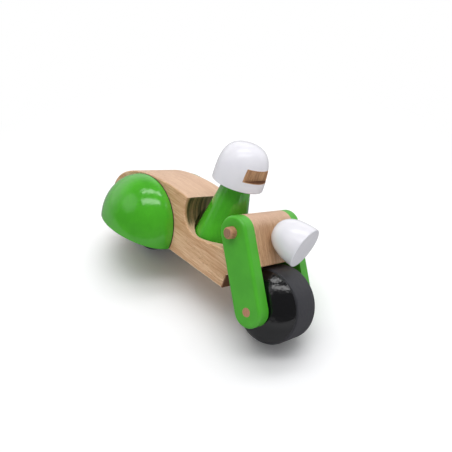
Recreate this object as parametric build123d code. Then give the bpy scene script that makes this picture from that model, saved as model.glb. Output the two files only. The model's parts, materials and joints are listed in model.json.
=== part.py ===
"""Wooden toy motor scooter with a lift-out peg rider, leaning at rest on its left fender.

Every piece is first made with the toy standing upright in its own frame: X is lateral
(the toy's left is +X), -Y is forward, Z is up, and Z = 0 touches both wheels.  The last
step tips the whole toy onto its left fender, where it comes to rest by itself.
Lengths are in millimetres and angles in degrees.
"""

import math
import os

from build123d import *

# Wheels and axles
WHEEL_RADIUS = 25.0
TREAD_WIDTH = 20.0
TREAD_EDGE = 1.0
FRONT_HUB_WIDTH = 39.0
REAR_HUB_WIDTH = 22.0
HUB_RADIUS = 8.0
CHEEK_SWELL = 0.27
WHEELBASE = 120.5
AXLE_DIAMETER = 6.0
RUNNING_CLEARANCE = 0.08
REAR_AXLE_Y = 17.5

# Body block
BODY_WIDTH = 44.0
UNDERSIDE_FRONT_Z = 22.6
UNDERSIDE_SLOPE = 2.5
LIP_Y = -21.8
LIP_Z = 62.3
DECK_REAR_Y = 26.0
DECK_DROP = 4.0
DECK_CROWN = 2.1
TAIL_LENGTH = 27.0
TAIL_DROP = 25.0
TAIL_CORNER = 3.0
TAIL_FULLNESS = 1.15
SCOOP_RADIUS = 17.1
LIP_UNDERCUT = 12.4
SEAT_SLOPE = 12.4
NOSE_Y = -73.8
NOSE_HEIGHT = 10.0
NECK_THICKNESS = 6.0
NECK_BOTTOM = 24.0
NECK_TOP = 52.0
BODY_EDGE = 1.1
WHEEL_SLOT_WIDTH = 24.0
WHEEL_SLOT_CLEARANCE = 2.5

# Side fenders: quarter ellipsoids, cut off flush with the underside
FENDER_Y = 14.0
FENDER_Z = 25.0
FENDER_RADIUS = 34.6
FENDER_BULGE = 25.0
FENDER_EDGE = 1.0

# Fork: two arms with a block and a dowel handlebar between them
FORK_RAKE = 38.3
ARM_HALF_WIDTH = 10.6
ARM_THICKNESS = 9.0
ARM_LENGTH = 50.3
ARM_EDGE = 2.2
BLOCK_WIDTH = 42.0
BLOCK_BOTTOM = 25.9
BLOCK_EDGE = 0.8
HANDLEBAR_DIAMETER = 8.0
HANDLEBAR_END = 4.9
HANDLEBAR_SANDING = 0.2
DOWEL_CHAMFER = 1.0

# Headlight: half an egg, its flat face forward
LAMP_RADIUS = 14.1
LAMP_LENGTH = 24.0
LAMP_ALONG = 32.5
LAMP_AHEAD = 31.2
LAMP_DIP = 6.3
LAMP_YAW = 8.5
LAMP_EDGE = 0.6
LAMP_FULLNESS = 0.66

# Rider: a cone that stands in a socket in the seat, with a turned helmet
SEAT_Y = -42.3
SEAT_Z = 41.4
RIDER_LEAN_BACK = 2.5
CONE_SEAT_RADIUS = 18.5
CONE_TAPER = 0.218
SOCKET_DEPTH = 3.0
SOCKET_CLEARANCE = 0.3
HELMET_ALONG = 40.4
HELMET_RADIUS = 17.9
HELMET_HEIGHT = 29.2
HELMET_EDGE = 0.8
HELMET_SIDE_FULLNESS = 0.54
HELMET_TOP_FULLNESS = 0.99
VISOR_BOTTOM = 7.6
VISOR_HEIGHT = 8.0
VISOR_DEPTH = 4.6
FACE_THICKNESS = 0.5

# A cubic whose handles are this fraction of the half axes draws a quarter ellipse
QUARTER_PULL = 4 / 3 * (math.sqrt(2) - 1)

# Worked out from the above
HALF_WIDTH = BODY_WIDTH / 2
FRONT_AXLE_Y = REAR_AXLE_Y - WHEELBASE
AXLE_RADIUS = AXLE_DIAMETER / 2
ARM_INSIDE = BLOCK_WIDTH / 2
ARM_OUTSIDE = ARM_INSIDE + ARM_THICKNESS
BORE_RADIUS = AXLE_RADIUS + RUNNING_CLEARANCE
FRONT_AXLE = Vector(0, FRONT_AXLE_Y, WHEEL_RADIUS)
REAR_AXLE = Vector(0, REAR_AXLE_Y, WHEEL_RADIUS)
ALONG_FORK = Vector(0, math.sin(math.radians(FORK_RAKE)), math.cos(math.radians(FORK_RAKE)))
AHEAD_FORK = Vector(0, -math.cos(math.radians(FORK_RAKE)), math.sin(math.radians(FORK_RAKE)))
SIDE_PLANE = Plane.YZ


def fork_point(along, ahead):
    """(y, z) of a point measured from the front axle along the arms and ahead of them."""
    point = FRONT_AXLE + ALONG_FORK * along + AHEAD_FORK * ahead
    return point.Y, point.Z


def dowel(diameter, length, centre):
    """A lateral dowel rod."""
    return Pos(centre) * Cylinder(diameter / 2, length, rotation=(0, 90, 0))


def wheel(centre, hub_width):
    """A turned wheel: a flat tread, round edges and cheeks that swell out to a flat hub."""
    hub = hub_width / 2
    tread = TREAD_WIDTH / 2
    shoulder = WHEEL_RADIUS - TREAD_EDGE
    along = Vector(tread - hub, shoulder - HUB_RADIUS).normalized()
    middle = Vector(hub + tread, HUB_RADIUS + shoulder) / 2
    middle += Vector(along.Y, -along.X) * (hub - tread) * CHEEK_SWELL
    corner = TREAD_EDGE * (1 - math.sqrt(0.5))
    section = [
        Line((0, BORE_RADIUS), (hub, BORE_RADIUS)),
        Line((hub, BORE_RADIUS), (hub, HUB_RADIUS)),
        ThreePointArc((hub, HUB_RADIUS), middle, (tread, shoulder)),
        ThreePointArc((tread, shoulder), (tread - corner, WHEEL_RADIUS - corner),
                      (tread - TREAD_EDGE, WHEEL_RADIUS)),
        Line((tread - TREAD_EDGE, WHEEL_RADIUS), (0, WHEEL_RADIUS)),
        Line((0, WHEEL_RADIUS), (0, BORE_RADIUS)),
    ]
    half = revolve(make_face(Curve() + section), axis=Axis.X)
    return Pos(centre) * (half + mirror(half, Plane.YZ))


def underside_z(y):
    """Height of the sloping underside at this station along the body."""
    return UNDERSIDE_FRONT_Z - (y - NOSE_Y) * math.tan(math.radians(UNDERSIDE_SLOPE))


def rear_profile():
    """The deck behind the lip, the round tail and its lower corner, as far as the underside."""
    deck_rear = (DECK_REAR_Y, LIP_Z - DECK_DROP)
    deck_middle = ((LIP_Y + DECK_REAR_Y) / 2, LIP_Z - DECK_DROP / 2 + DECK_CROWN)
    deck = ThreePointArc((LIP_Y, LIP_Z), deck_middle, deck_rear)
    tail_y = DECK_REAR_Y + TAIL_LENGTH
    tail_end = (tail_y, deck_rear[1] - TAIL_DROP)
    tail = Spline(deck_rear, tail_end, tangents=(deck % 1, (0, -1)),
                  tangent_scalars=(TAIL_FULLNESS, TAIL_FULLNESS))
    corner_start = (tail_y, underside_z(tail_y) + TAIL_CORNER)
    corner_end = (tail_y - TAIL_CORNER, underside_z(tail_y - TAIL_CORNER))
    return [deck, tail, Line(tail_end, corner_start), RadiusArc(corner_start, corner_end, TAIL_CORNER)]


def scoop_profile():
    """The concave wall that rises from the seat's flat floor to the lip."""
    undercut = math.radians(LIP_UNDERCUT)
    slope = math.radians(SEAT_SLOPE)
    centre = Vector(LIP_Y - SCOOP_RADIUS * math.cos(undercut), LIP_Z - SCOOP_RADIUS * math.sin(undercut))
    halfway = (undercut - slope - math.pi / 2) / 2
    middle = centre + Vector(math.cos(halfway), math.sin(halfway)) * SCOOP_RADIUS
    foot = centre - Vector(math.sin(slope), math.cos(slope)) * SCOOP_RADIUS
    return ThreePointArc(foot, middle, (LIP_Y, LIP_Z))


def body_outline():
    """The side view of the body, from the lip of the seat round the tail to the nose."""
    rear = rear_profile()
    scoop = scoop_profile()
    floor_start = scoop @ 0
    floor_rise = math.tan(math.radians(SEAT_SLOPE))
    neck_rise = math.tan(math.radians(90 - FORK_RAKE))
    back_y, back_z = fork_point(NECK_TOP - NECK_THICKNESS / 2, -ARM_HALF_WIDTH - NECK_THICKNESS)
    foot_y = floor_start.Y + floor_start.X * floor_rise - back_z + back_y * neck_rise
    foot_y /= neck_rise + floor_rise
    front = Polyline(
        rear[-1] @ 1,
        (NOSE_Y, UNDERSIDE_FRONT_Z),
        (NOSE_Y, UNDERSIDE_FRONT_Z + NOSE_HEIGHT),
        fork_point(NECK_BOTTOM, -ARM_HALF_WIDTH),
        fork_point(NECK_TOP, -ARM_HALF_WIDTH),
        (back_y, back_z),
        (foot_y, floor_start.Y + (floor_start.X - foot_y) * floor_rise),
        floor_start)
    return Curve() + [*rear, front, scoop]


def seat_plane(along):
    """The plane across the rider's axis, this far above the seat."""
    lean = math.radians(RIDER_LEAN_BACK)
    up = Vector(0, math.sin(lean), math.cos(lean))
    return Plane(origin=Vector(0, SEAT_Y, SEAT_Z) + up * along, x_dir=(1, 0, 0), z_dir=up)


def cone_radius(along):
    """The rider's radius this far above the seat."""
    return CONE_SEAT_RADIUS - CONE_TAPER * along


def make_body():
    """The beech block, with its wheel slot, its axle hole and the rider's socket."""
    block = extrude(SIDE_PLANE * make_face(body_outline()), HALF_WIDTH, both=True)
    block = fillet(block.faces().sort_by(Axis.X)[0].edges(), BODY_EDGE)
    block = fillet(block.faces().sort_by(Axis.X)[-1].edges(), BODY_EDGE)
    slot_radius = WHEEL_RADIUS + WHEEL_SLOT_CLEARANCE
    block -= Pos(REAR_AXLE) * Cylinder(slot_radius, WHEEL_SLOT_WIDTH, rotation=(0, 90, 0))
    block -= Pos(REAR_AXLE) * Cylinder(AXLE_RADIUS, BODY_WIDTH, rotation=(0, 90, 0))
    socket_radius = cone_radius(-SOCKET_DEPTH) + SOCKET_CLEARANCE
    depth = SOCKET_DEPTH + 2 * SCOOP_RADIUS
    socket = Cylinder(socket_radius, depth, align=(Align.CENTER, Align.CENTER, Align.MIN))
    return block - seat_plane(-SOCKET_DEPTH) * socket


def make_fender(side):
    """A quarter ellipsoid glued to one side, flush with the underside of the body."""
    arc = Bezier((0, FENDER_RADIUS), (FENDER_BULGE * QUARTER_PULL, FENDER_RADIUS),
                 (FENDER_BULGE, FENDER_RADIUS * QUARTER_PULL), (FENDER_BULGE, 0))
    section = make_face(Curve() + [arc, Line((FENDER_BULGE, 0), (0, 0)), Line((0, 0), (0, FENDER_RADIUS))])
    dome = Pos(HALF_WIDTH, FENDER_Y, FENDER_Z) * revolve(section, axis=Axis.X)
    size = 4 * FENDER_RADIUS
    dome -= Pos(0, FENDER_Y, underside_z(FENDER_Y)) * Rot(-UNDERSIDE_SLOPE, 0, 0) * Box(
        size, size, size, align=(Align.CENTER, Align.CENTER, Align.MAX))
    dome = fillet(dome.edges().filter_by(lambda edge: edge.length > BODY_WIDTH / 2), FENDER_EDGE)
    return dome if side > 0 else mirror(dome, Plane.YZ)


def handlebar_centre():
    """Where the handlebar's axis crosses the middle of the toy."""
    return FRONT_AXLE + ALONG_FORK * ARM_LENGTH


def make_arm(side):
    """A flat arm with round ends, bored for the axle and for the handlebar."""
    centre = Vector(ARM_LENGTH / 2, 0)
    shape = Pos(centre) * SlotOverall(ARM_LENGTH + 2 * ARM_HALF_WIDTH, 2 * ARM_HALF_WIDTH)
    flat = Plane(origin=FRONT_AXLE, x_dir=ALONG_FORK, z_dir=(1, 0, 0))
    arm = extrude(flat * shape, ARM_THICKNESS)
    arm = fillet(arm.faces().sort_by(Axis.X)[-1].edges(), ARM_EDGE)
    arm = Pos(ARM_INSIDE, 0, 0) * arm
    arm -= dowel(AXLE_DIAMETER, 2 * ARM_OUTSIDE, FRONT_AXLE)
    arm -= dowel(HANDLEBAR_DIAMETER, 2 * ARM_OUTSIDE, handlebar_centre())
    return arm if side > 0 else mirror(arm, Plane.YZ)


def make_head_block():
    """The block between the arms, flush with them: round at the top and bored for the handlebar."""
    straight = ARM_LENGTH - BLOCK_BOTTOM
    middle = FRONT_AXLE + ALONG_FORK * BLOCK_BOTTOM
    block = Box(BLOCK_WIDTH, 2 * ARM_HALF_WIDTH, straight, align=(Align.CENTER, Align.CENTER, Align.MIN))
    block += Pos(0, 0, straight) * Cylinder(ARM_HALF_WIDTH, BLOCK_WIDTH, rotation=(0, 90, 0))
    low_front = block.edges().filter_by(Axis.X).group_by(Axis.Z)[0].sort_by(Axis.Y)[0]
    block = fillet(low_front, BLOCK_EDGE)
    block = Plane(origin=middle, x_dir=(1, 0, 0), z_dir=ALONG_FORK) * block
    return block - dowel(HANDLEBAR_DIAMETER, BLOCK_WIDTH, handlebar_centre())


def make_handlebar():
    """The dowel through the arms and the block, its bare ends sanded slimmer and chamfered."""
    length = 2 * (ARM_OUTSIDE + HANDLEBAR_END)
    ends = Cylinder(HANDLEBAR_DIAMETER / 2 - HANDLEBAR_SANDING, length)
    ends = chamfer(ends.edges().filter_by(GeomType.CIRCLE), DOWEL_CHAMFER)
    rod = ends + Cylinder(HANDLEBAR_DIAMETER / 2, 2 * ARM_OUTSIDE)
    return Pos(handlebar_centre()) * Rot(0, 90, 0) * rod


def half_egg(radius, length, fullness):
    """Half an egg about Z: its flat face at the origin, its pole at -Z."""
    side = Bezier((radius, 0), (radius, -fullness * length), (fullness * radius, -length), (0, -length))
    section = make_face(Curve() + [side, Line((0, -length), (0, 0)), Line((0, 0), (radius, 0))])
    return revolve(Plane.XZ * section, axis=Axis.Z)


def make_headlight():
    """Half an egg, its pole cut flat where it is glued to the head block."""
    face_y, face_z = fork_point(LAMP_ALONG, LAMP_AHEAD)
    lamp = half_egg(LAMP_RADIUS, LAMP_LENGTH, LAMP_FULLNESS)
    lamp = fillet(lamp.edges().group_by(Axis.Z)[-1], LAMP_EDGE)
    lamp = Pos(0, face_y, face_z) * Rot(0, 0, LAMP_YAW) * Rot(90 + LAMP_DIP, 0, 0) * lamp
    size = 4 * LAMP_LENGTH
    front_y, front_z = fork_point(LAMP_ALONG, ARM_HALF_WIDTH)
    behind = Plane(origin=(0, front_y, front_z), x_dir=(1, 0, 0), z_dir=AHEAD_FORK) * Box(
        size, size, size, align=(Align.CENTER, Align.CENTER, Align.MAX))
    return lamp - behind


def make_rider_body():
    """The rider's cone, from the bottom of the socket to the helmet."""
    height = SOCKET_DEPTH + HELMET_ALONG
    cone = Cone(cone_radius(-SOCKET_DEPTH), cone_radius(HELMET_ALONG), height,
                align=(Align.CENTER, Align.CENTER, Align.MIN))
    return seat_plane(-SOCKET_DEPTH) * cone


def helmet_solid():
    """The turned helmet, without its visor slot, standing on the XY plane."""
    side = Bezier((HELMET_RADIUS, 0), (HELMET_RADIUS, HELMET_SIDE_FULLNESS * HELMET_HEIGHT),
                  (HELMET_TOP_FULLNESS * HELMET_RADIUS, HELMET_HEIGHT), (0, HELMET_HEIGHT))
    lines = [side, Line((0, HELMET_HEIGHT), (0, 0)), Line((0, 0), (HELMET_RADIUS, 0))]
    solid = revolve(Plane.XZ * make_face(Curve() + lines), axis=Axis.Z)
    return fillet(solid.edges().group_by(Axis.Z)[0], HELMET_EDGE)


def visor_cut(margin):
    """The straight slot across the front of the helmet, this much larger all round."""
    width = 4 * HELMET_RADIUS
    back = HELMET_RADIUS - VISOR_DEPTH - margin
    return Pos(0, -back, VISOR_BOTTOM - margin) * Box(
        width, width, VISOR_HEIGHT + 2 * margin, align=(Align.CENTER, Align.MAX, Align.MIN))


def make_helmet():
    """The painted helmet, with room for the face in its visor slot."""
    return seat_plane(HELMET_ALONG) * (helmet_solid() - visor_cut(FACE_THICKNESS))


def make_rider_face():
    """The bare wood that shows in the visor slot: its back and both its ledges."""
    return seat_plane(HELMET_ALONG) * ((helmet_solid() & visor_cut(FACE_THICKNESS)) - visor_cut(0))


def make_upright():
    """Every piece by name, with the toy standing upright."""
    return {
        "body": make_body(),
        "fender_left": make_fender(1),
        "fender_right": make_fender(-1),
        "rear_axle": dowel(AXLE_DIAMETER, BODY_WIDTH, REAR_AXLE),
        "rear_wheel": wheel(REAR_AXLE, REAR_HUB_WIDTH),
        "head_block": make_head_block(),
        "fork_arm_left": make_arm(1),
        "fork_arm_right": make_arm(-1),
        "handlebar": make_handlebar(),
        "headlight": make_headlight(),
        "front_axle": dowel(AXLE_DIAMETER, 2 * ARM_OUTSIDE, FRONT_AXLE),
        "front_wheel": wheel(FRONT_AXLE, FRONT_HUB_WIDTH),
        "rider_body": make_rider_body(),
        "rider_face": make_rider_face(),
        "helmet": make_helmet(),
    }


def lean_angle():
    """How far the upright toy tips before the left fender's lower edge meets the floor."""
    underside = underside_z(REAR_AXLE_Y)
    half_height = (WHEEL_RADIUS - underside) / FENDER_RADIUS
    reach = HALF_WIDTH + FENDER_BULGE * math.sqrt(1 - half_height ** 2) - FENDER_EDGE
    across = reach - (TREAD_WIDTH / 2 - TREAD_EDGE)
    up = underside + FENDER_EDGE - TREAD_EDGE
    span = math.hypot(across, up)
    return math.degrees(math.atan2(up, across) - math.asin((FENDER_EDGE - TREAD_EDGE) / span))


def resting_place(pieces):
    """The location that tips the toy onto its left fender and centres it on the floor."""
    tipped = Rot(0, lean_angle(), 0)
    boxes = [(tipped * shape).bounding_box() for shape in pieces.values()]
    left = min(box.min.X for box in boxes)
    right = max(box.max.X for box in boxes)
    front = min(box.min.Y for box in boxes)
    back = max(box.max.Y for box in boxes)
    floor = min(box.min.Z for box in boxes)
    return Pos(-(left + right) / 2, -(front + back) / 2, -floor) * tipped


def main():
    """Build, tip and export every piece."""
    pieces = make_upright()
    place = resting_place(pieces)
    os.makedirs("parts", exist_ok=True)
    for name, shape in pieces.items():
        export_step(place * shape, f"parts/{name}.step")
    print("lean", round(lean_angle(), 3), "place", place)


if __name__ == "__main__":
    main()
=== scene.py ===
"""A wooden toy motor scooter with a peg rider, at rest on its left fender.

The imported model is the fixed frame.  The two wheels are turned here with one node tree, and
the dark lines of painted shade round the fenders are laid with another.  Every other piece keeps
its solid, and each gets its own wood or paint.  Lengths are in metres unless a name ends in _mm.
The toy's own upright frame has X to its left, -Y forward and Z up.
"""

from __future__ import annotations

import json
import logging
import math
from dataclasses import dataclass, field
from enum import Enum
from typing import Any, Iterable, Sequence

import bmesh
import bpy
from mathutils import Matrix, Vector


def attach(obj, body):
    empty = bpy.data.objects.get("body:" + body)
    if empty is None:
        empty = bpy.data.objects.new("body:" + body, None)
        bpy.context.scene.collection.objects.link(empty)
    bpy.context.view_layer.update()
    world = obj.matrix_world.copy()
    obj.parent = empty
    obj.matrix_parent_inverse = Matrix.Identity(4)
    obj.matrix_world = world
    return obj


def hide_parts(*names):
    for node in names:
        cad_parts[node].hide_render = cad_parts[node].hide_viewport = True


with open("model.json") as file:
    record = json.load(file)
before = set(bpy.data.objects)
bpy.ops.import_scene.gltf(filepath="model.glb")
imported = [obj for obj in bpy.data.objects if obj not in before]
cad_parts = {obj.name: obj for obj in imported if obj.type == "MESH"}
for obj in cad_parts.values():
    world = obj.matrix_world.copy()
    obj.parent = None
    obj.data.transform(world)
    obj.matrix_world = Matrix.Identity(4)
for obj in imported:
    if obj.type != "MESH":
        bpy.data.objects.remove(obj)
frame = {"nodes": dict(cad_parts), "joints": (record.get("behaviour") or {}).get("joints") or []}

LOG = logging.getLogger("scooter")
MM = 0.001
MERGE_DISTANCE = 0.000002
CRISP_EDGE = math.radians(35)
FORK_RAKE = math.radians(38.3)
LEFT, AHEAD, UP = Vector((1, 0, 0)), Vector((0, -1, 0)), Vector((0, 0, 1))
WHITE_LIGHT, BLACK = (1, 1, 1, 1), (0, 0, 0, 1)

Colour = tuple[float, ...]
Triple = tuple[float, float, float]
Pair = tuple[float, float]


# ---- Colours and shader trees ----


def linear(red: int, green: int, blue: int) -> Colour:
    """A screen colour as the linear colour that a shader wants.

    Args:
        red: its red, from 0 to 255.
        green: its green, likewise.
        blue: its blue, likewise.

    Returns:
        The colour, opaque.
    """

    def part(value: int) -> float:
        """One channel from screen value to linear value."""
        share = value / 255
        return share / 12.92 if share <= 0.04045 else ((share + 0.055) / 1.055) ** 2.4

    return part(red), part(green), part(blue), 1.0


class Value:
    """A shader socket that numbers and other sockets can be combined with."""

    def __init__(self, tree: ShaderTree, socket: bpy.types.NodeSocket) -> None:
        """Wraps one output socket of a shader tree."""
        self.tree = tree
        self.socket = socket

    def _math(self, operation: str, *values: Any) -> Value:
        """A Math node on these values."""
        return self.tree.node("ShaderNodeMath", {"operation": operation}, dict(enumerate(values)))

    def __add__(self, other: Any) -> Value:
        """Sum."""
        return self._math("ADD", self, other)

    __radd__ = __add__

    def __mul__(self, other: Any) -> Value:
        """Product."""
        return self._math("MULTIPLY", self, other)

    __rmul__ = __mul__

    def __sub__(self, other: Any) -> Value:
        """Difference."""
        return self._math("SUBTRACT", self, other)

    def __rsub__(self, other: Any) -> Value:
        """Difference, the other way round."""
        return self._math("SUBTRACT", other, self)

    def step(self, low: float, high: float) -> Value:
        """A smooth step from 0 at low to 1 at high.

        Args:
            low: where the step starts.
            high: where the step ends; below low, the step falls.

        Returns:
            The stepped value, clamped to 0..1.
        """
        start, end = sorted((low, high))
        settings = {"interpolation_type": "SMOOTHSTEP", "clamp": True}
        sockets = {"Value": self, "From Min": start, "From Max": end}
        stepped = self.tree.node("ShaderNodeMapRange", settings, sockets)
        return 1 - stepped if high < low else stepped

    def root(self) -> Value:
        """Square root."""
        return self._math("SQRT", self)

    def sine(self) -> Value:
        """Sine of an angle in radians."""
        return self._math("SINE", self)

    def size(self) -> Value:
        """Absolute value."""
        return self._math("ABSOLUTE", self)


class ShaderTree:
    """The node tree of a material or of the world, written as expressions."""

    def __init__(self, owner: bpy.types.Material | bpy.types.World) -> None:
        """Empties the owner's tree.

        Args:
            owner: the material or world to build.
        """
        self.owner = owner
        owner.use_nodes = True
        self.tree = owner.node_tree
        self.tree.nodes.clear()

    @classmethod
    def material(cls, name: str) -> ShaderTree:
        """An empty tree of a new material."""
        return cls(bpy.data.materials.new(name))

    def node(self, kind: str, settings: dict[str, Any], inputs: dict[Any, Any],
             output: Any = 0) -> Value:
        """Adds a node, sets it up and returns one of its outputs.

        Args:
            kind: the node's type name.
            settings: attributes to set first.
            inputs: values or sockets, by input name or number.
            output: name or number of the output to return.

        Returns:
            The chosen output, wrapped.
        """
        made = self.tree.nodes.new(kind)
        for key, value in settings.items():
            setattr(made, key, value)
        for key, value in inputs.items():
            socket = made.inputs[key]
            if isinstance(value, Value):
                self.tree.links.new(value.socket, socket)
            else:
                socket.default_value = value
        return Value(self, made.outputs[output])

    def mix(self, amount: Any, first: Any, second: Any) -> Value:
        """A colour between two colours or colour sockets: amount 0 gives the first."""
        # The colour sockets go by number, because other types of socket share their names.
        settings = {"data_type": "RGBA", "clamp_factor": True}
        return self.node("ShaderNodeMix", settings, {0: amount, 6: first, 7: second}, 2)

    def noise(self, place: Value, scale: float, detail: float = 2.0,
              rough: float = 0.5) -> Value:
        """Noise from 0 to 1 with this many cells to a unit and this many octaves."""
        sockets = {"Vector": place, "Scale": scale, "Detail": detail, "Roughness": rough}
        return self.node("ShaderNodeTexNoise", {}, sockets, "Fac")

    def pattern(self, place: Value, sizes: Triple, detail: float = 2.0,
                rough: float = 0.5) -> Value:
        """A noise value whose cells are stretched along the axes.

        Args:
            place: coordinates, in the unit of the sizes.
            sizes: the cells' size along each axis.
            detail: octaves.
            rough: how strong each finer octave is.

        Returns:
            The noise, from 0 to 1.
        """
        scale = [1 / size for size in sizes]
        shrunk = self.node("ShaderNodeVectorMath", {"operation": "MULTIPLY"},
                           {0: place, 1: scale})
        return self.noise(shrunk, 1.0, detail, rough)

    def part(self, place: Value, axis: str) -> Value:
        """One coordinate of a place."""
        return self.node("ShaderNodeSeparateXYZ", {}, {0: place}, axis)

    def cosine(self, direction: Value, axis: Vector) -> Value:
        """The cosine between two directions of length 1."""
        return self.node("ShaderNodeVectorMath", {"operation": "DOT_PRODUCT"},
                         {0: direction, 1: axis}, "Value")

    def bump(self, height: Value, strength: float, distance: float,
             over: Value | None = None) -> Value:
        """A normal bumped by a height.

        Args:
            height: the height, from 0 to 1.
            strength: the bump's strength.
            distance: how far 0 is from 1, in metres.
            over: a normal that is bumped already, which this one adds to.

        Returns:
            The bumped normal.
        """
        sockets = {"Height": height, "Strength": strength, "Distance": distance}
        if over is not None:
            sockets["Normal"] = over
        return self.node("ShaderNodeBump", {}, sockets)

    def surface(self, **sockets: Any) -> bpy.types.Material:
        """Ends the tree in a Principled BSDF; a _ in a socket's name stands for a space."""
        named = {key.replace("_", " "): value for key, value in sockets.items()}
        return self.end(self.node("ShaderNodeBsdfPrincipled", {}, named))

    def end(self, shader: Value) -> bpy.types.Material | bpy.types.World:
        """Links a shader to the owner's output.

        Args:
            shader: the finished shader.

        Returns:
            The material or world.
        """
        world = isinstance(self.owner, bpy.types.World)
        kind = "ShaderNodeOutputWorld" if world else "ShaderNodeOutputMaterial"
        output = self.tree.nodes.new(kind)
        self.tree.links.new(shader.socket, output.inputs["Surface"])
        return self.owner


# ---- The toy's own frame ----


class ToyFrame:
    """The upright toy's frame inside the tipped model, found from its wheel joints."""

    # Where the front axle is in the upright toy: its height and its place along Y.
    WHEEL_RADIUS = 0.025
    FRONT_AXLE_Y = -0.103

    def __init__(self, joints: Iterable[dict[str, Any]]) -> None:
        """Reads the wheel joints.

        Args:
            joints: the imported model's joints.
        """
        spins = {joint["name"]: joint for joint in joints}
        lateral = Vector(spins["front_wheel_spin"]["axis"]).normalized()
        turn = Matrix((lateral, -AHEAD, lateral.cross(-AHEAD))).transposed()
        front = Vector(spins["front_wheel_spin"]["pos_m"])
        corner = front - turn @ Vector((0, self.FRONT_AXLE_Y, self.WHEEL_RADIUS))
        self.to_model = Matrix.Translation(corner) @ turn.to_4x4()
        self.rear_axle = self.upright(Vector(spins["rear_wheel_spin"]["pos_m"]))
        self.front_axle = self.upright(front)

    def upright(self, point: Vector) -> Vector:
        """A model point in the upright toy's frame."""
        return self.to_model.inverted() @ point


TOY = ToyFrame(frame["joints"])


def toy_place(tree: ShaderTree, extra: Matrix = Matrix.Identity(4)) -> Value:
    """The shaded point's place in the upright toy, in millimetres.

    Args:
        tree: the material's tree.
        extra: a further turn about the toy's origin, for a grain that isn't along Y.

    Returns:
        The coordinates.
    """
    inverse = extra @ TOY.to_model.inverted()
    sockets = {"Vector": tree.node("ShaderNodeTexCoord", {}, {}, "Object"),
               "Location": inverse.to_translation() / MM, "Rotation": inverse.to_euler(),
               "Scale": (1 / MM,) * 3}
    return tree.node("ShaderNodeMapping", {"vector_type": "POINT"}, sockets)


# ---- Finishes ----


class Grain(Enum):
    """Which way a sawn piece's grain runs in the upright toy."""

    LENGTHWISE = "along the body"
    FORK = "along the fork arms"
    UPRIGHT = "upright, as in the rider"

    def direction(self) -> Vector:
        """Works out the grain's direction.

        Returns:
            The direction, in the upright toy.
        """
        directions = {
            Grain.LENGTHWISE: -AHEAD,
            Grain.FORK: Vector((0, math.sin(FORK_RAKE), math.cos(FORK_RAKE))),
            Grain.UPRIGHT: UP,
        }
        return directions[self]

    def turn(self) -> Matrix:
        """The turn that brings the grain onto Y."""
        return self.direction().rotation_difference(-AHEAD).to_matrix().to_4x4()


def facing(tree: ShaderTree, direction: Vector, low: float, high: float,
           either_way: bool = False) -> Value:
    """How squarely the surface faces a direction.

    Args:
        tree: the material's tree.
        direction: the direction, in the upright toy.
        low: cosine at which the result starts to rise.
        high: cosine at which it is 1.
        either_way: whether a surface that faces the opposite way counts too.

    Returns:
        0 to 1.
    """
    normal = tree.node("ShaderNodeTexCoord", {}, {}, "Normal")
    along = (TOY.to_model.to_3x3() @ direction).normalized()
    cosine = tree.cosine(normal, along)
    return (cosine.size() if either_way else cosine).step(low, high)


# Where the painted shade on the nose and in the scoop starts and is full in the upright toy, and
# the size of the streaks in the scoop's painted shade.
NOSE_ALONG_MM = (-69.0, -72.0)
SCOOP_ALONG_MM = (-50.0, -42.0)
SCOOP_UP_MM = (42.0, 46.0)
SCOOP_ASIDE_MM = (21.0, 18.6)
SCOOP_SHADE_STREAKS_MM = (1.1, 40.0, 40.0)


class Corner(Enum):
    """A part of a sawn piece whose wood gets another colour: painted top light, painted shade, a
    painted highlight, or a darker ledge.
    """

    TOP = "faces up, and is bleached"
    SCOOP = "the scoop behind the rider"
    NOSE = "the nose behind the wheel"
    LEDGE = "the ledge below the visor"
    RIM = "the rounded lower edges"

    def mask(self, tree: ShaderTree) -> Value:
        """1 where the part is.

        Args:
            tree: the material's tree.

        Returns:
            The mask.
        """
        # Faces that look up are made paler: painted top light and sheen from the light above.
        if self is Corner.TOP:
            return facing(tree, UP + 0.1 * LEFT, 0.55, 1.0) * 0.5
        # The rounded lower edges are made paler: a painted highlight, as of light thrown up from
        # the floor.
        if self is Corner.RIM:
            return facing(tree, -UP, 0.1, 0.4) * (1 - facing(tree, -UP, 0.75, 0.95))
        if self is Corner.LEDGE:
            return facing(tree, UP, 0.5, 0.8) * 0.8
        place = toy_place(tree)
        side, along, up = (tree.part(place, axis) for axis in "XYZ")
        ahead = facing(tree, AHEAD, 0.25, 0.75)
        # The nose's end grain is darkened further: painted shade from the front wheel.
        if self is Corner.NOSE:
            return ahead * along.step(*NOSE_ALONG_MM) * 0.8
        # The scoop's wall is darkened and tinted green in upright streaks: painted shade between
        # the rider and the wall, with a painted reflection of the rider's green paint.
        streak = tree.pattern(place, SCOOP_SHADE_STREAKS_MM).step(0.36, 0.62)
        reach = side.size().step(*SCOOP_ASIDE_MM) * (0.52 + 0.42 * streak)
        return ahead * up.step(*SCOOP_UP_MM) * along.step(*SCOOP_ALONG_MM) * reach


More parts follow.
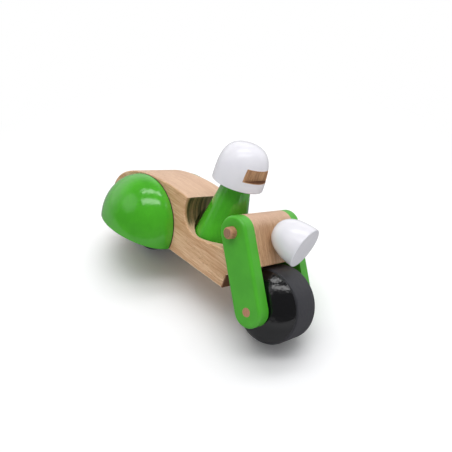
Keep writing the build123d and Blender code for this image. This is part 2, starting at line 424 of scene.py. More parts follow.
@dataclass(frozen=True)
class Beech:
    """Clear-finished beech with soft stripes, fine fibres and short dark flecks.

    Attributes:
        name: the material's name.
        pale: colour between the fibres.
        tan: colour of the stripes and fibres.
        fleck: colour of the flecks.
        end: colour that end grain is stained towards.
        grain: which way the grain runs.
        tints_and_painted_light: parts of the piece with a colour of their own, and that colour;
            most are painted light or shade.
        roughness: the surface's roughness.
        broad_mm: size of the broad changes of colour across, along and across the grain.
        stripe_mm: size of the stripes.
        fibre_mm: size of the fibres.
        fleck_mm: size of the flecks.
        patch_mm: size of the patches that have flecks.
        relief_mm: how deep the fibres and flecks are.
    """

    name: str
    pale: Colour = linear(230, 195, 157)
    tan: Colour = linear(190, 143, 100)
    fleck: Colour = linear(138, 92, 62)
    end: Colour = linear(190, 142, 106)
    grain: Grain = Grain.LENGTHWISE
    tints_and_painted_light: tuple[tuple[Corner, Colour], ...] = ()
    roughness: float = 0.46
    broad_mm: Triple = (5.0, 90.0, 5.0)
    stripe_mm: Triple = (1.1, 30.0, 1.1)
    fibre_mm: Triple = (0.45, 10.0, 0.45)
    fleck_mm: Triple = (0.4, 3.4, 0.4)
    patch_mm: Triple = (9.0, 26.0, 9.0)
    relief_mm: float = 0.08

    def material(self) -> bpy.types.Material:
        """Builds the wood.

        Returns:
            The finished material.
        """
        tree = ShaderTree.material(self.name)
        place = toy_place(tree, self.grain.turn())
        broad = tree.pattern(place, self.broad_mm, 3.0)
        stripe = tree.pattern(place, self.stripe_mm, 2.0, 0.55)
        fibre = tree.pattern(place, self.fibre_mm, 3.0, 0.6)
        fleck = tree.pattern(place, self.fleck_mm, 1.0).step(0.62, 0.7)
        patch = tree.pattern(place, self.patch_mm, 1.0).step(0.38, 0.6)
        pores = tree.noise(place, 2.4, 1.0).step(0.55, 0.72)
        cut = facing(tree, self.grain.direction(), 0.45, 0.95, either_way=True)
        dark = (0.28 * broad + 0.3 * stripe + 0.42 * fibre).step(0.36, 0.62)
        coloured = tree.mix(dark, self.pale, self.tan)
        coloured = tree.mix(fleck * patch * (1 - cut) * 0.75, coloured, self.fleck)
        coloured = tree.mix(cut * (0.5 + 0.4 * pores), coloured, self.end)
        # Each colour goes over its part; most are painted light or shade.
        for corner, tint in self.tints_and_painted_light:
            coloured = tree.mix(corner.mask(tree), coloured, tint)
        height = 0.5 * fibre + 0.5 * stripe - 0.5 * fleck
        return tree.surface(
            Base_Color=coloured,
            Roughness=self.roughness + 0.14 * (fibre - 0.5) + 0.1 * fleck,
            Specular_IOR_Level=0.5,
            Normal=tree.bump(height, 0.3, self.relief_mm * MM))


@dataclass(frozen=True)
class Paint:
    """Sprayed paint over turned or sawn wood, with the wood's waves faintly in it.

    Attributes:
        name: the material's name.
        colour: the paint.
        shade: the paint where it lies a little thicker.
        roughness: the surface's roughness.
        specular: level of the paint's own gloss, in which its waves show.
        coat: weight of the gloss coat.
        wave_mm: size of the waves along X, Y and Z of the toy.
        wave_height_mm: height of the waves.
        peel_height_mm: height of the fine orange peel.
        peel_per_mm: how fine the orange peel is.
        cloud_per_mm: how fine the changes in thickness are.
        dust_per_mm: how fine the specks of dust are.
    """

    name: str
    colour: Colour
    shade: Colour
    roughness: float = 0.22
    specular: float = 0.5
    coat: float = 0.6
    wave_mm: Triple = (2.4, 2.4, 9.0)
    wave_height_mm: float = 0.15
    peel_height_mm: float = 0.006
    peel_per_mm: float = 1.6
    cloud_per_mm: float = 0.08
    dust_per_mm: float = 3.1

    def material(self) -> bpy.types.Material:
        """Builds the paint.

        Returns:
            The finished material.
        """
        tree = ShaderTree.material(self.name)
        place = toy_place(tree)
        wave = tree.pattern(place, self.wave_mm, 2.0, 0.45)
        peel = tree.noise(place, self.peel_per_mm, 2.0)
        cloud = tree.noise(place, self.cloud_per_mm, 3.0)
        dust = tree.noise(place, self.dust_per_mm, 1.0).step(0.7, 0.8)
        rolling = tree.bump(wave, 1.0, self.wave_height_mm * MM)
        return tree.surface(
            Base_Color=tree.mix(cloud.step(0.3, 0.7), self.colour, self.shade),
            Roughness=self.roughness + 0.08 * (cloud - 0.5) + 0.12 * dust,
            Specular_IOR_Level=self.specular,
            Coat_Weight=self.coat - 0.25 * dust,
            Coat_Roughness=0.04,
            Normal=tree.bump(peel, 1.0, self.peel_height_mm * MM, rolling))


@dataclass(frozen=True)
class WheelPaint:
    """Black paint on a turned wheel: glossy cheeks and a tread that has been rolled duller.

    Attributes:
        name: the material's name.
        axle: the wheel's axle in the upright toy, in metres.
        gloss: colour of the cheeks.
        worn: colour of the tread.
        tread_half_mm: half the tread's width.
        tread_radius_mm: radius past which the surface is tread.
        wave_mm: size of the waves in the paint.
        wave_height_mm: height of the waves.
        turned_mm: size of the turning marks on the tread.
        scuff_mm: size of the scuffs.
        scuff_height_mm: height of the turning marks and scuffs.
    """

    name: str
    axle: Vector
    gloss: Colour = linear(12, 12, 15)
    worn: Colour = linear(49, 49, 57)
    tread_half_mm: float = 10.2
    tread_radius_mm: float = 24.0
    wave_mm: Triple = (2.6, 2.6, 2.6)
    wave_height_mm: float = 0.24
    turned_mm: Triple = (0.5, 40.0, 40.0)
    scuff_mm: Triple = (1.2, 3.0, 3.0)
    scuff_height_mm: float = 0.02

    def material(self) -> bpy.types.Material:
        """Builds the paint.

        Returns:
            The finished material.
        """
        tree = ShaderTree.material(self.name)
        place = toy_place(tree)
        centre = [-part / MM for part in self.axle]
        local = tree.node("ShaderNodeVectorMath", {"operation": "ADD"}, {0: place, 1: centre})
        side, along, up = (tree.part(local, axis) for axis in "XYZ")
        radius = (along * along + up * up).root()
        tread = radius.step(self.tread_radius_mm - 0.5, self.tread_radius_mm)
        tread = tread * side.size().step(self.tread_half_mm + 0.7, self.tread_half_mm - 0.7)
        turned = tree.pattern(local, self.turned_mm, 3.0)
        scuff = tree.pattern(local, self.scuff_mm, 4.0, 0.65)
        rolling = tree.bump(tree.pattern(local, self.wave_mm), 1.0, self.wave_height_mm * MM)
        marks = turned * tread + scuff * 0.3
        return tree.surface(
            Base_Color=tree.mix(tread * (0.75 + 0.25 * scuff), self.gloss, self.worn),
            Roughness=0.15 + 0.4 * tread + 0.12 * (scuff - 0.5),
            Specular_IOR_Level=0.8,
            Coat_Weight=0.12 - 0.07 * tread,
            Coat_Roughness=0.06,
            Normal=tree.bump(marks, 0.6, self.scuff_height_mm * MM, rolling))


@dataclass(frozen=True)
class DowelWood:
    """Dowel rod: fine lateral grain, and rings and pores on its sawn ends.

    Attributes:
        name: the material's name.
        centre: a point on the rod's axis in the upright toy, in metres.
        pale: the lighter wood.
        tan: the darker wood.
        end: colour of the end grain.
        pore: colour of its pores.
        pith: where the growth rings have their centre, along and above the rod's axis.
        ring_mm: distance from ring to ring.
        fibre_mm: size of the fibres along X, Y and Z of the toy.
        pore_mm: size of the pores.
        relief_mm: how deep the fibres and pores are.
    """

    name: str
    centre: Vector
    pale: Colour = linear(192, 146, 110)
    tan: Colour = linear(150, 104, 74)
    end: Colour = linear(160, 124, 100)
    pore: Colour = linear(112, 76, 58)
    pith: Pair = (0.009, -0.004)
    ring_mm: float = 1.3
    fibre_mm: Triple = (6.0, 0.35, 0.35)
    pore_mm: Triple = (2.0, 0.3, 0.3)
    relief_mm: float = 0.08

    def material(self) -> bpy.types.Material:
        """Builds the wood.

        Returns:
            The finished material.
        """
        tree = ShaderTree.material(self.name)
        place = toy_place(tree)
        pith = (0, self.centre.y + self.pith[0], self.centre.z + self.pith[1])
        shift = [-part / MM for part in pith]
        local = tree.node("ShaderNodeVectorMath", {"operation": "ADD"}, {0: place, 1: shift})
        along, up = tree.part(local, "Y"), tree.part(local, "Z")
        radius = (along * along + up * up).root() + tree.noise(place, 0.35, 2.0)
        rings = 0.5 + 0.5 * (radius * (2 * math.pi / self.ring_mm)).sine()
        fibre = tree.pattern(place, self.fibre_mm, 3.0, 0.6)
        pores = tree.pattern(place, self.pore_mm, 1.0).step(0.58, 0.72)
        cut = facing(tree, LEFT, 0.7, 0.95, either_way=True)
        rod = tree.mix(fibre.step(0.3, 0.7), self.pale, self.tan)
        face = tree.mix(0.35 * rings + 0.55 * pores, self.end, self.pore)
        return tree.surface(
            Base_Color=tree.mix(cut, rod, face),
            Roughness=0.55 + 0.2 * (fibre - 0.5) + 0.15 * cut,
            Specular_IOR_Level=0.35,
            Normal=tree.bump(fibre - 0.5 * pores, 0.4, self.relief_mm * MM))


GREEN = Paint("green_gloss_paint", linear(74, 175, 36), linear(67, 165, 32), roughness=0.13,
              specular=0.8, coat=0.1)
SATIN_GREEN = Paint("green_satin_paint", linear(76, 178, 40), linear(70, 168, 36), roughness=0.38,
                    coat=0.2, wave_mm=(4.0, 4.0, 4.0), wave_height_mm=0.03)
WHITE = Paint("white_gloss_paint", linear(232, 231, 237), linear(228, 227, 234), roughness=0.22,
              coat=0.45, wave_mm=(3.6, 3.6, 2.2), wave_height_mm=0.03)
# Dark paint for the beads of painted shade round the fenders.
SEAM_SHADOW_PAINT = Paint("painted_seam_shadow", linear(40, 38, 22), linear(30, 30, 18), roughness=0.6, coat=0.1)
# Painted top light and sheen, for faces that look up.
PAINTED_TOP_LIGHT = (Corner.TOP, linear(220, 188, 168))
# On the body the scoop and the nose get painted shade, and the lower edges a painted highlight.
BODY_BEECH = Beech("beech_along_the_body", tints_and_painted_light=(
    PAINTED_TOP_LIGHT, (Corner.SCOOP, linear(50, 50, 22)), (Corner.NOSE, linear(116, 66, 46)),
    (Corner.RIM, linear(240, 210, 174))))
BLOCK_BEECH = Beech("beech_along_the_fork", pale=linear(208, 172, 134), tan=linear(172, 130, 92),
                    grain=Grain.FORK, tints_and_painted_light=(PAINTED_TOP_LIGHT,))
AXLE_END = linear(192, 142, 112)
FACE_WOOD = Beech("bare_wood_in_the_visor", pale=linear(210, 166, 121), tan=linear(162, 115, 77),
                  end=linear(156, 110, 76), grain=Grain.UPRIGHT, roughness=0.62,
                  tints_and_painted_light=((Corner.LEDGE, linear(100, 64, 42)),))


# ---- Making pieces ----


def arc(centre: Pair, radius: float, start: float, end: float, count: int) -> list[Pair]:
    """Points on an arc of a profile.

    Args:
        centre: (radius, height) of the arc's centre.
        radius: the arc's radius.
        start: the first point's angle, in degrees from the radius axis.
        end: the last point's angle.
        count: how many points.

    Returns:
        The points, both ends included.
    """
    points = []
    for index in range(count):
        angle = math.radians(start + (end - start) * index / (count - 1))
        points.append((centre[0] + radius * math.cos(angle), centre[1] + radius * math.sin(angle)))
    return points


def arc_through(first: Pair, middle: Pair, last: Pair, count: int) -> list[Pair]:
    """Points on the arc that starts at one point, passes a second and ends at a third.

    Args:
        first: where it starts.
        middle: a point it passes.
        last: where it ends.
        count: how many points.

    Returns:
        The points, both ends included.
    """
    (ax, ay), (bx, by), (cx, cy) = first, middle, last
    scale = 2 * (ax * (by - cy) + bx * (cy - ay) + cx * (ay - by))
    first_sq, middle_sq, last_sq = ax * ax + ay * ay, bx * bx + by * by, cx * cx + cy * cy
    x = (first_sq * (by - cy) + middle_sq * (cy - ay) + last_sq * (ay - by)) / scale
    y = (first_sq * (cx - bx) + middle_sq * (ax - cx) + last_sq * (bx - ax)) / scale
    start = math.degrees(math.atan2(ay - y, ax - x))
    end = math.degrees(math.atan2(cy - y, cx - x))
    turn = (end - start + 180) % 360 - 180
    return arc((x, y), math.hypot(ax - x, ay - y), start, start + turn, count)


def adopt(piece: bpy.types.Object, body: str, slot: str, *nodes: str) -> bpy.types.Object:
    """Rides a finished piece on its body, in place of the nodes it stands for.

    Args:
        piece: the finished object.
        body: the body it moves with.
        slot: the record's material slot; not used.
        *nodes: the solids it replaces.

    Returns:
        The piece.
    """
    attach(piece, body)
    if nodes:
        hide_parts(*nodes)
    return piece


def linked(name: str, data: bpy.types.ID) -> bpy.types.Object:
    """Makes an object and links it to the scene.

    Args:
        name: the object's name.
        data: its mesh, curve, light or camera.

    Returns:
        The object.
    """
    made = bpy.data.objects.new(name, data)
    bpy.context.scene.collection.objects.link(made)
    return made


def grown(name: str, tree: bpy.types.NodeTree, start: bpy.types.ID,
          settings: dict[str, Any]) -> bpy.types.Mesh:
    """Runs a node tree on some start data and keeps the mesh it grows.

    Args:
        name: the mesh's name.
        tree: the geometry node tree.
        start: the mesh or curve it starts from, which is used up.
        settings: the tree's inputs, by name.

    Returns:
        The grown mesh.
    """
    worker = linked(name + "_worker", start)
    modifier = worker.modifiers.new(tree.name, "NODES")
    modifier.node_group = tree
    for item in tree.interface.items_tree:
        if item.item_type == "SOCKET" and item.name in settings:
            modifier[item.identifier] = settings[item.name]
    evaluated = worker.evaluated_get(bpy.context.evaluated_depsgraph_get())
    mesh = bpy.data.meshes.new_from_object(evaluated)
    bpy.data.objects.remove(worker)
    mesh.name = name
    return mesh


def placed(name: str, mesh: bpy.types.Mesh, place: Matrix) -> bpy.types.Object:
    """Puts a closed mesh in its place in the model, its faces outwards.

    Args:
        name: the piece's name.
        mesh: the mesh, in its own frame.
        place: where that frame goes, in the upright toy.

    Returns:
        The piece.
    """
    mesh.transform(TOY.to_model @ place)
    work = bmesh.new()
    work.from_mesh(mesh)
    bmesh.ops.remove_doubles(work, verts=work.verts, dist=MERGE_DISTANCE)
    bmesh.ops.recalc_face_normals(work, faces=work.faces)
    for face in work.faces:
        face.smooth = True
    work.to_mesh(mesh)
    work.free()
    mesh.set_sharp_from_angle(angle=CRISP_EDGE)
    return linked(name, mesh)


class PieceTree:
    """A geometry node tree with named inputs, which ends in one real and painted mesh."""

    def __init__(self, name: str, inputs: dict[str, str]) -> None:
        """Opens the tree.

        Args:
            name: the tree's name.
            inputs: the type of each input's socket, by name.
        """
        self.tree = bpy.data.node_groups.new(name, "GeometryNodeTree")
        face = self.tree.interface
        for label, kind in {**inputs, "Finish": "NodeSocketMaterial"}.items():
            face.new_socket(name=label, in_out="INPUT", socket_type=kind)
        face.new_socket(name="Piece", in_out="OUTPUT", socket_type="NodeSocketGeometry")
        self.given = self.tree.nodes.new("NodeGroupInput")

    def add(self, kind: str, inputs: dict[str, Any],
            output: str = "Geometry") -> bpy.types.NodeSocket:
        """Adds a node.

        Args:
            kind: the node's type name.
            inputs: values or sockets, by input name.
            output: name of the output to return.

        Returns:
            The output socket.
        """
        made = self.tree.nodes.new(kind)
        for label, value in inputs.items():
            if isinstance(value, bpy.types.NodeSocket):
                self.tree.links.new(value, made.inputs[label])
            else:
                made.inputs[label].default_value = value
        return made.outputs[output]

    def close(self, mesh: bpy.types.NodeSocket) -> bpy.types.NodeTree:
        """Ends the tree: makes the mesh real and gives it the finish.

        Args:
            mesh: the socket that gives the mesh.

        Returns:
            The finished tree.
        """
        real = self.add("GeometryNodeRealizeInstances", {"Geometry": mesh})
        finish = self.given.outputs["Finish"]
        painted = self.add("GeometryNodeSetMaterial", {"Geometry": real, "Material": finish})
        end = self.tree.nodes.new("NodeGroupOutput")
        self.tree.links.new(painted, end.inputs["Piece"])
        return self.tree


class Lathe:
    """A node tree that turns a profile round an axis, as a wood turner's lathe does."""

    SEGMENTS = 160
    # The profile is swept round a thin core, so its radii are measured from there.
    CORE = 0.001

    def __init__(self) -> None:
        """Builds the tree."""
        work = PieceTree("lathe", {
            "Profile": "NodeSocketGeometry", "Segments": "NodeSocketInt",
            "Core radius": "NodeSocketFloat"})
        given = work.given.outputs
        circle = work.add("GeometryNodeCurvePrimitiveCircle", {
            "Resolution": given["Segments"], "Radius": given["Core radius"]}, "Curve")
        swept = work.add("GeometryNodeCurveToMesh", {
            "Curve": circle, "Profile Curve": given["Profile"]}, "Mesh")
        merged = work.add("GeometryNodeMergeByDistance", {
            "Geometry": swept, "Distance": MERGE_DISTANCE})
        self.tree = work.close(work.add("GeometryNodeSetShadeSmooth", {"Geometry": merged}))

    def turn(self, name: str, profile: Sequence[Pair], place: Matrix,
             finish: bpy.types.Material) -> bpy.types.Object:
        """Turns a closed profile into a solid piece.

        Args:
            name: the piece's name.
            profile: (radius, height) points of the closed section.
            place: where the axis (Z) and its origin go, in the upright toy.
            finish: the piece's material.

        Returns:
            The piece, in the model's frame.
        """
        curve = bpy.data.curves.new(name + "_profile", "CURVE")
        curve.dimensions = "3D"
        spline = curve.splines.new("POLY")
        spline.points.add(len(profile) - 1)
        for point, (radius, height) in zip(spline.points, profile):
            point.co = (radius - self.CORE, -height, 0, 1)
        settings = {"Segments": self.SEGMENTS, "Core radius": self.CORE, "Finish": finish}
        return placed(name, grown(name, self.tree, curve, settings), place)


@dataclass
class Wheel:
    """A turned wheel: a flat tread, round shoulders and cheeks that swell to a flat hub.

    Attributes:
        name: the piece's and the node's name.
        body: the body it turns with.
        axle: its axle in the upright toy.
        hub_half: half the width at the hub.
        radius: the tread's radius.
        tread_half: half the tread's width.
        edge: how round the tread's edges are.
        hub_radius: radius of the flat hub.
        swell: how far the cheek bulges, as a share of its rise.
        bore: radius of the axle hole.
        cheek_points: how many points the cheek's profile has.
        edge_points: how many points the tread's rounded edge has.
    """

    name: str
    body: str
    axle: Vector
    hub_half: float
    radius: float = 0.025
    tread_half: float = 0.010
    edge: float = 0.001
    hub_radius: float = 0.008
    swell: float = 0.27
    bore: float = 0.00308
    cheek_points: int = 30
    edge_points: int = 10

    def profile(self) -> list[Pair]:
        """Works out the wheel's section.

        Returns:
            Its closed outline, from the bore round the outside.
        """
        shoulder = self.radius - self.edge
        rise, run = self.hub_half - self.tread_half, shoulder - self.hub_radius
        bulge = self.swell * rise / math.hypot(rise, run)
        middle = ((shoulder + self.hub_radius) / 2 + rise * bulge,
                  (self.tread_half + self.hub_half) / 2 + run * bulge)
        cheek = arc_through((self.hub_radius, self.hub_half), middle,
                            (shoulder, self.tread_half), self.cheek_points)
        corner = arc((shoulder, self.tread_half - self.edge), self.edge, 90, 0,
                     self.edge_points)
        upper = [(self.bore, self.hub_half), *cheek, *corner[1:]]
        lower = [(radius, -height) for radius, height in reversed(upper)]
        return [*upper, *lower, upper[0]]

    def build(self, lathe: Lathe) -> bpy.types.Object:
        """Turns and paints the wheel.

        Args:
            lathe: the lathe to turn it on.

        Returns:
            The finished wheel.
        """
        finish = WheelPaint(self.name + "_black_paint", self.axle).material()
        place = Matrix.Translation(self.axle) @ Matrix.Rotation(math.pi / 2, 4, "Y")
        piece = lathe.turn(self.name + "_turned", self.profile(), place, finish)
        return adopt(piece, self.body, "black_paint", self.name)


class Bead:
    """A node tree that lays a thin round bead along an arc, its ends closed."""

    ARC_POINTS = 120
    SIDES = 12

    def __init__(self) -> None:
        """Builds the tree."""
        sizes = ("Arc radius", "Bead radius", "Start", "Sweep")
        work = PieceTree("bead", dict.fromkeys(sizes, "NodeSocketFloat"))
        given = work.given.outputs
        line = work.add("GeometryNodeCurveArc", {
            "Resolution": self.ARC_POINTS, "Radius": given["Arc radius"],
            "Start Angle": given["Start"], "Sweep Angle": given["Sweep"]}, "Curve")
        section = work.add("GeometryNodeCurvePrimitiveCircle", {
            "Resolution": self.SIDES, "Radius": given["Bead radius"]}, "Curve")
        swept = work.add("GeometryNodeCurveToMesh", {
            "Curve": line, "Profile Curve": section, "Fill Caps": True}, "Mesh")
        self.tree = work.close(swept)

    def lay(self, name: str, place: Matrix, settings: dict[str, Any]) -> bpy.types.Object:
        """Lays one bead of these settings, by input name, at a place in the upright toy."""
        mesh = grown(name, self.tree, bpy.data.meshes.new(name + "_start"), settings)
        return placed(name, mesh, place)


class Side(Enum):
    """A side of the toy, with its sign along X."""

    LEFT = 1
    RIGHT = -1


@dataclass
class FenderSeamShadow:
    """A dark bead in the groove between a fender's round rim and the body: painted shade of the
    gap there.

    Attributes:
        side: the fender's side.
        centre: the fender's centre along and above the toy.
        rim: radius of the line.
        thickness: the bead's radius.
        offset: the line's distance from the toy's middle.
        front_dip: degrees below level where it starts, at the front.
        rear_dip: degrees below level where it ends, at the rear.
    """

    side: Side
    centre: Pair = (0.014, 0.025)
    rim: float = 0.03432
    thickness: float = 0.00042
    offset: float = 0.0223
    front_dip: float = 6.5
    rear_dip: float = 11.5

    def build(self, bead: Bead, finish: bpy.types.Material) -> bpy.types.Object:
        """Lays the bead.

        Args:
            bead: the tree that lays it.
            finish: its material.

        Returns:
            The finished seam.
        """
        name = "fender_seam_shadow_left" if self.side is Side.LEFT else "fender_seam_shadow_right"
        middle = Vector((self.side.value * self.offset, *self.centre))
        # The arc starts level at the front and rises over the wheel towards the tail.
        axes = Matrix((AHEAD, UP, -LEFT)).transposed().to_4x4()
        settings = {"Arc radius": self.rim, "Bead radius": self.thickness,
                    "Start": math.radians(-self.front_dip),
                    "Sweep": math.radians(180 + self.front_dip + self.rear_dip),
                    "Finish": finish}
        seam = bead.lay(name, Matrix.Translation(middle) @ axes, settings)
        return adopt(seam, "chassis", "green_paint")


@dataclass
class SolidPieces:
    """The pieces that keep their solid's own shape and only get a finish.

    Attributes:
        bar_from_axle: how far up the fork the handlebar is from the front axle.
    """

    bar_from_axle: float = 0.0503

    def dress(self) -> list[bpy.types.Object]:
        """Gives every kept piece its material.

        Returns:
            The pieces.
        """
        front, rear = TOY.front_axle, TOY.rear_axle
        bar = front + Grain.FORK.direction() * self.bar_from_axle
        finishes = {
            "body": BODY_BEECH.material(),
            "head_block": BLOCK_BEECH.material(),
            "rider_face": FACE_WOOD.material(),
            "handlebar": DowelWood("handlebar_dowel", bar).material(),
            "front_axle": DowelWood("front_axle_dowel", front, end=AXLE_END).material(),
            "rear_axle": DowelWood("rear_axle_dowel", rear).material(),
        }
        painted = {WHITE: ("helmet", "headlight"),
                   GREEN: ("rider_body", "fender_left", "fender_right"),
                   SATIN_GREEN: ("fork_arm_left", "fork_arm_right")}
        for paint, names in painted.items():
            finishes.update(dict.fromkeys(names, paint.material()))
        pieces = [frame["nodes"][name] for name in finishes]
        for piece, finish in zip(pieces, finishes.values()):
            piece.data.materials.clear()
            piece.data.materials.append(finish)
        return pieces


# ---- Studio ----


@dataclass(frozen=True)
class Lamp:
    """One rectangular lamp that shines straight down.

    Attributes:
        name: its name.
        place: its centre.
        size: length and width.
        watts: its power.
        heading: degrees its length is turned from X.
        mirrored: whether gloss shows it.
    """

    name: str
    place: Triple
    size: Pair
    watts: float
    heading: float = 0.0
    mirrored: bool = True

    def build(self) -> None:
        """Makes the lamp."""
        light = bpy.data.lights.new(self.name, "AREA")
        light.shape = "RECTANGLE"
        light.size, light.size_y = self.size
        light.energy = self.watts
        lamp = linked(self.name, light)
        lamp.location = self.place
        lamp.rotation_euler = (0, 0, math.radians(self.heading))
        lamp.visible_glossy = self.mirrored


@dataclass
class Studio:
    """A pale floor, a white room with a window, a soft box and two ceiling tubes.

    Attributes:
        away: level direction from the camera to the toy.
        walls: strength of the room's light near the horizon.
        fill: light added low down from the camera's side.
        fill_turn: degrees that light stands to the right of the camera.
        backdrop: strength of the backdrop in gloss.
        dark: strength of the rest of the room in gloss.
        window: strength of the window in gloss.
        ceiling: strength of the light above.
        ceiling_tilt: degrees its brightest part leans back, away from the camera.
        ceiling_starts: cosine to that part at which the ceiling's light starts.
        floor_colour: the floor where it is looked at.
        floor_bounce: the floor as a reflector of light.
        floor_in_gloss: how much of that light gloss shows.
        far_floor_in_gloss: how much of the plain white far floor gloss shows.
        clear_from: distance from the toy at which the floor starts to turn plain white.
        clear_at: distance past which it is plain white where it is looked at.
        fill_spread: cosines to the fill's direction at which it starts and is full.
        fill_fades: heights in the sky between which it fades out.
        backdrop_spread: cosines for the backdrop.
        backdrop_fades: heights for the backdrop.
        window_at: the window's direction, to the camera's left, away from it and up.
        window_edge: cosines to that direction at the window's soft edge.
        floor_half: half the floor's width.
        lamps: the soft box, which gloss doesn't show, and the tubes, which it does.
    """

    away: Vector
    walls: float = 0.14
    fill: float = 1.6
    fill_turn: float = 25.0
    backdrop: float = 0.9
    dark: float = 0.10
    window: float = 0.7
    ceiling: float = 1.15
    ceiling_tilt: float = 18.0
    ceiling_starts: float = 0.45
    floor_colour: Colour = (0.985, 0.987, 1.0, 1.0)
    floor_bounce: Colour = (0.72, 0.72, 0.74, 1.0)
    floor_in_gloss: float = 0.4
    far_floor_in_gloss: float = 0.3
    clear_from: float = 0.09
    clear_at: float = 0.3
    fill_spread: Pair = (-0.6, 0.5)
    fill_fades: Pair = (0.1, 0.45)
    backdrop_spread: Pair = (-0.1, 0.6)
    backdrop_fades: Pair = (0.3, 0.8)
    window_at: Triple = (0.76, -0.05, 0.64)
    window_edge: Pair = (0.93, 0.99)
    floor_half: float = 4.0
    lamps: tuple[Lamp, ...] = (
        Lamp("soft_box", (0.26, 0.3, 1.05), (1.0, 1.0), 3.5, mirrored=False),
        Lamp("tube_near", (-0.04, -0.09, 0.75), (0.76, 0.14), 1.1, -36.0),
        Lamp("tube_far", (0.24, 0.13, 0.75), (0.80, 0.13), 1.1, -28.0),
    )

    def build(self) -> None:
        """Makes the floor, the room and the lamps."""
        self._world()
        self._floor()
        for lamp in self.lamps:
            lamp.build()

    @staticmethod
    def _rays(tree: ShaderTree) -> tuple[Value, Value]:
        """Tells by which rays a surface or the room is seen.

        Args:
            tree: its tree.

        Returns:
            1 for rays that look at it, also through glass, and 1 for rays from gloss.
        """
        camera, glass, glossy = (
            tree.node("ShaderNodeLightPath", {}, {}, kind)
            for kind in ("Is Camera Ray", "Is Transmission Ray", "Is Glossy Ray"))
        seen = tree.node("ShaderNodeMath", {"operation": "MAXIMUM"}, {0: camera, 1: glass})
        return seen, glossy

    def _window(self) -> Vector:
        """Works out where the window is, high up at the toy's tail.

        Returns:
            Its direction.
        """
        aside = Vector((-self.away.y, self.away.x, 0))
        left, away, up = self.window_at
        return (aside * left + self.away * away + UP * up).normalized()

    def _world(self) -> None:
        """The white room, as it is looked at, as it lights the toy and as gloss shows it."""
        world = bpy.data.worlds.new("white_room")
        bpy.context.scene.world = world
        tree = ShaderTree(world)
        direction = tree.node("ShaderNodeTexCoord", {}, {}, "Generated")
        height = tree.part(direction, "Z")
        tilt = math.radians(self.ceiling_tilt)
        brightest = self.away * math.sin(tilt) + UP * math.cos(tilt)
        overhead = tree.cosine(direction, brightest).step(self.ceiling_starts, 1.0)
        from_here = Matrix.Rotation(math.radians(self.fill_turn), 3, "Z") @ -self.away
        fill = tree.cosine(direction, from_here).step(*self.fill_spread)
        fill = fill * (1 - height.step(*self.fill_fades))
        light = self.walls + overhead * (self.ceiling - self.walls) + fill * self.fill
        backdrop = tree.cosine(direction, self.away).step(*self.backdrop_spread)
        backdrop = backdrop * (1 - height.step(*self.backdrop_fades))
        window = tree.cosine(direction, self._window()).step(*self.window_edge)
        mirrored = self.dark + backdrop * (self.backdrop - self.dark) + window * self.window
        seen, glossy = self._rays(tree)
        shown = light + glossy * (mirrored - light)
        strength = shown + seen * (1 - shown)
        tree.end(tree.node("ShaderNodeBackground", {},
                           {"Color": WHITE_LIGHT, "Strength": strength}))

    def _floor(self) -> None:
        """A wide floor, white to look at and greyer as a reflector, that keeps the shadow."""
        tree = ShaderTree.material("white_floor")
        seen, glossy = self._rays(tree)
        bounce = tree.mix(glossy * (1 - self.floor_in_gloss), self.floor_bounce, BLACK)
        paper = tree.node("ShaderNodeBsdfDiffuse", {},
                          {"Color": tree.mix(seen, bounce, self.floor_colour)})
        place = tree.node("ShaderNodeTexCoord", {}, {}, "Object")
        distance = tree.node("ShaderNodeVectorMath", {"operation": "LENGTH"}, {0: place}, "Value")
        glow = tree.node("ShaderNodeEmission", {}, {"Color": WHITE_LIGHT, "Strength": 1.0})
        clear = distance.step(self.clear_from, self.clear_at)
        clear = (seen + glossy * self.far_floor_in_gloss) * clear
        finish = tree.end(tree.node("ShaderNodeMixShader", {}, {0: clear, 1: paper, 2: glow}))
        mesh = bpy.data.meshes.new("floor")
        half = self.floor_half
        corners = [(-half, -half, 0), (half, -half, 0), (half, half, 0), (-half, half, 0)]
        mesh.from_pydata(corners, [], [(0, 1, 2, 3)])
        mesh.materials.append(finish)
        floor = linked("floor", mesh)


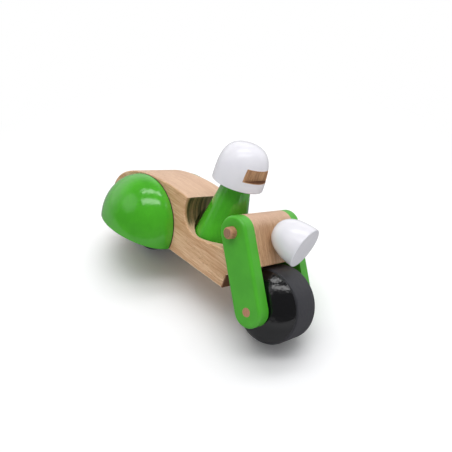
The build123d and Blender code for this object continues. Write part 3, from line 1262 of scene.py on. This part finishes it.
@dataclass
class Viewpoint:
    """The main camera, stated in the upright toy's frame.

    Attributes:
        azimuth: degrees from straight ahead of the toy.
        elevation: degrees above the toy's own floor plane.
        roll: degrees the camera is turned about its own axis.
        distance: from the point it looks at, in metres.
        target: the point it looks at.
        lens_mm: focal length.
        sensor_mm: width of the sensor.
        clip: nearest and farthest distance it sees.
    """

    azimuth: float = -54.3
    elevation: float = 22.1
    roll: float = 20.4
    distance: float = 0.4108
    target: Vector = field(default_factory=lambda: Vector((0, -0.0441, 0.05065)))
    lens_mm: float = 47.1
    sensor_mm: float = 36.0
    clip: Pair = (0.01, 50.0)

    def build(self) -> Vector:
        """Makes the camera and makes it the scene's.

        Returns:
            The level direction it looks in.
        """
        turn, rise, roll = (math.radians(a) for a in (self.azimuth, self.elevation, self.roll))
        back = Vector((math.sin(turn) * math.cos(rise), -math.cos(turn) * math.cos(rise),
                       math.sin(rise)))
        level = Vector((math.cos(turn), math.sin(turn), 0))
        upright = back.cross(level)
        right = level * math.cos(roll) + upright * math.sin(roll)
        up = upright * math.cos(roll) - level * math.sin(roll)
        axes = Matrix((right, up, back)).transposed().to_4x4()
        data = bpy.data.cameras.new("camera")
        data.lens = self.lens_mm
        data.sensor_width = self.sensor_mm
        data.clip_start, data.clip_end = self.clip
        camera = linked("camera", data)
        place = Matrix.Translation(self.target + back * self.distance) @ axes
        camera.matrix_world = TOY.to_model @ place
        bpy.context.scene.camera = camera
        ahead = TOY.to_model.to_3x3() @ -back
        return Vector((ahead.x, ahead.y, 0)).normalized()


def main() -> None:
    """Builds and dresses the toy, then the studio and the camera."""
    logging.basicConfig(level=logging.INFO, format="%(name)s: %(message)s")
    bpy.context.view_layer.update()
    away = Viewpoint().build()
    lathe = Lathe()
    wheels = (Wheel("front_wheel", "front_wheel_body", TOY.front_axle, hub_half=0.0195),
              Wheel("rear_wheel", "rear_wheel_body", TOY.rear_axle, hub_half=0.011))
    pieces = [wheel.build(lathe) for wheel in wheels]
    # Each fender's rim gets a dark bead: painted shade of the gap there.
    bead, rim_shade_paint = Bead(), SEAM_SHADOW_PAINT.material()
    pieces += [FenderSeamShadow(side).build(bead, rim_shade_paint) for side in Side]
    pieces += SolidPieces().dress()
    for piece in pieces:
        mesh = piece.data
        LOG.info("%s: %d faces, %s", piece.name, len(mesh.polygons), mesh.materials[0].name)
    Studio(away).build()
    bpy.context.scene.view_settings.view_transform = "Standard"
    bpy.context.view_layer.update()


if __name__ == "__main__":
    main()
